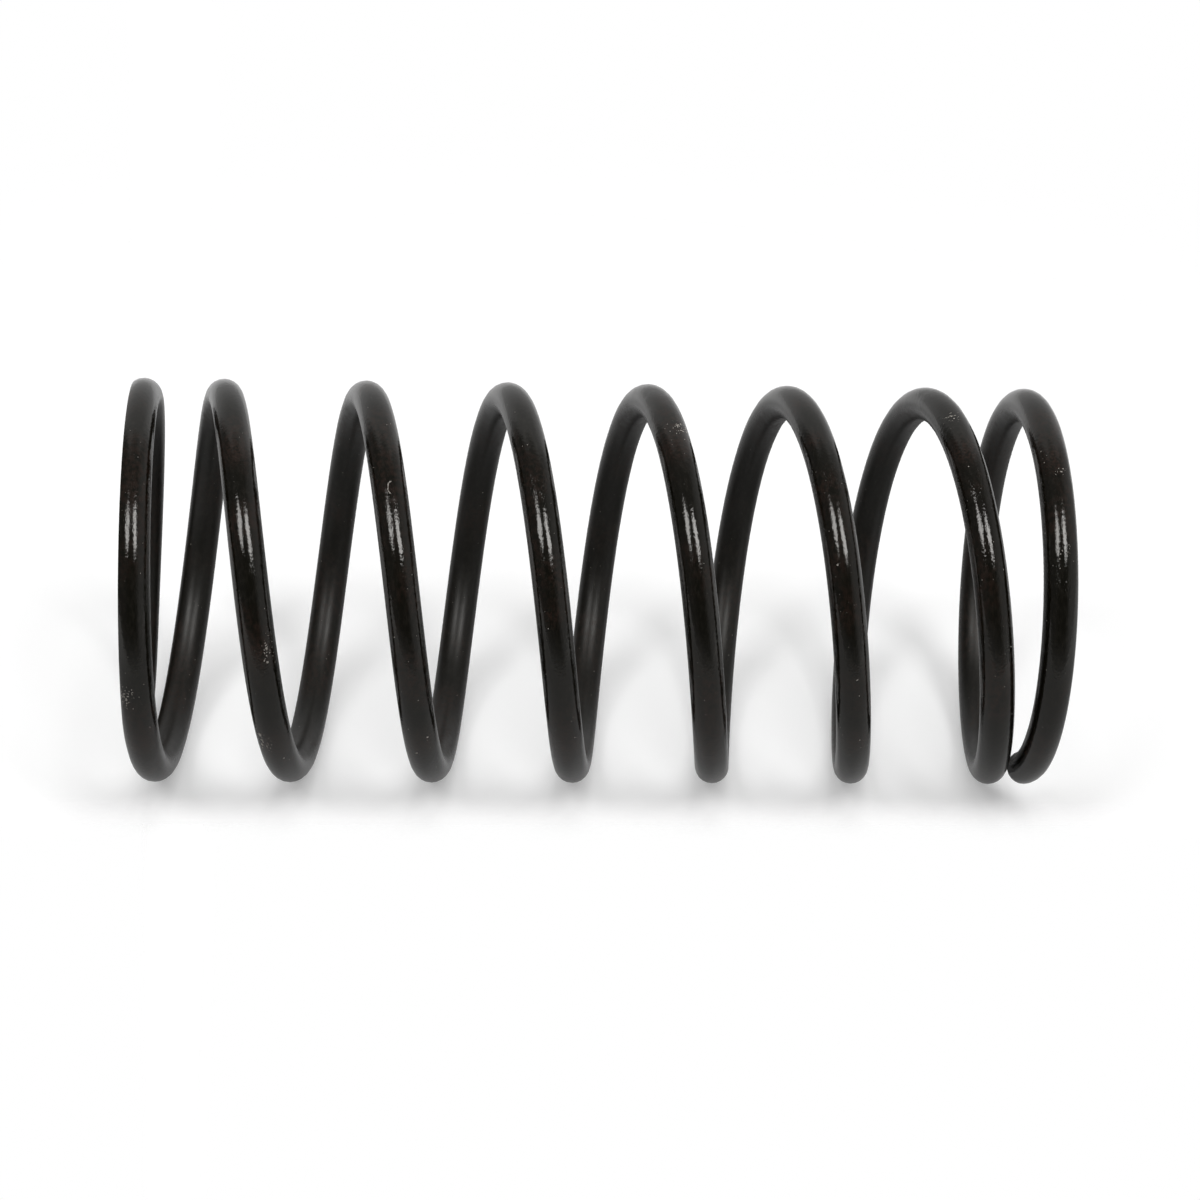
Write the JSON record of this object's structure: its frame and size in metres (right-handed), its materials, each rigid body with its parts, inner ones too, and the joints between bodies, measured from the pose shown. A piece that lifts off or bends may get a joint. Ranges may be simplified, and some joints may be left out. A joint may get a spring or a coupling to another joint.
{
  "type": "gear selector spring",
  "caption": "Right-hand compression spring of glossy black round wire, with closed and ground ends, that returns or holds a gear selector.",
  "frame": {"origin": "centre of the lower ground end face, on the coil's axis", "axes": "+Z along the coil's axis from the lower to the upper ground end; +X to the side on which the pictured spring lies"},
  "size_m": [0.0296, 0.0296, 0.0672],
  "materials": {
    "wire": "glossy near-black coating on hard-drawn steel wire, slightly warm, with a fine drawn grain, dust specks and small chips"
  },
  "bodies": {
    "root": {"coil_spring": "wire"}
  },
  "joints": []
}
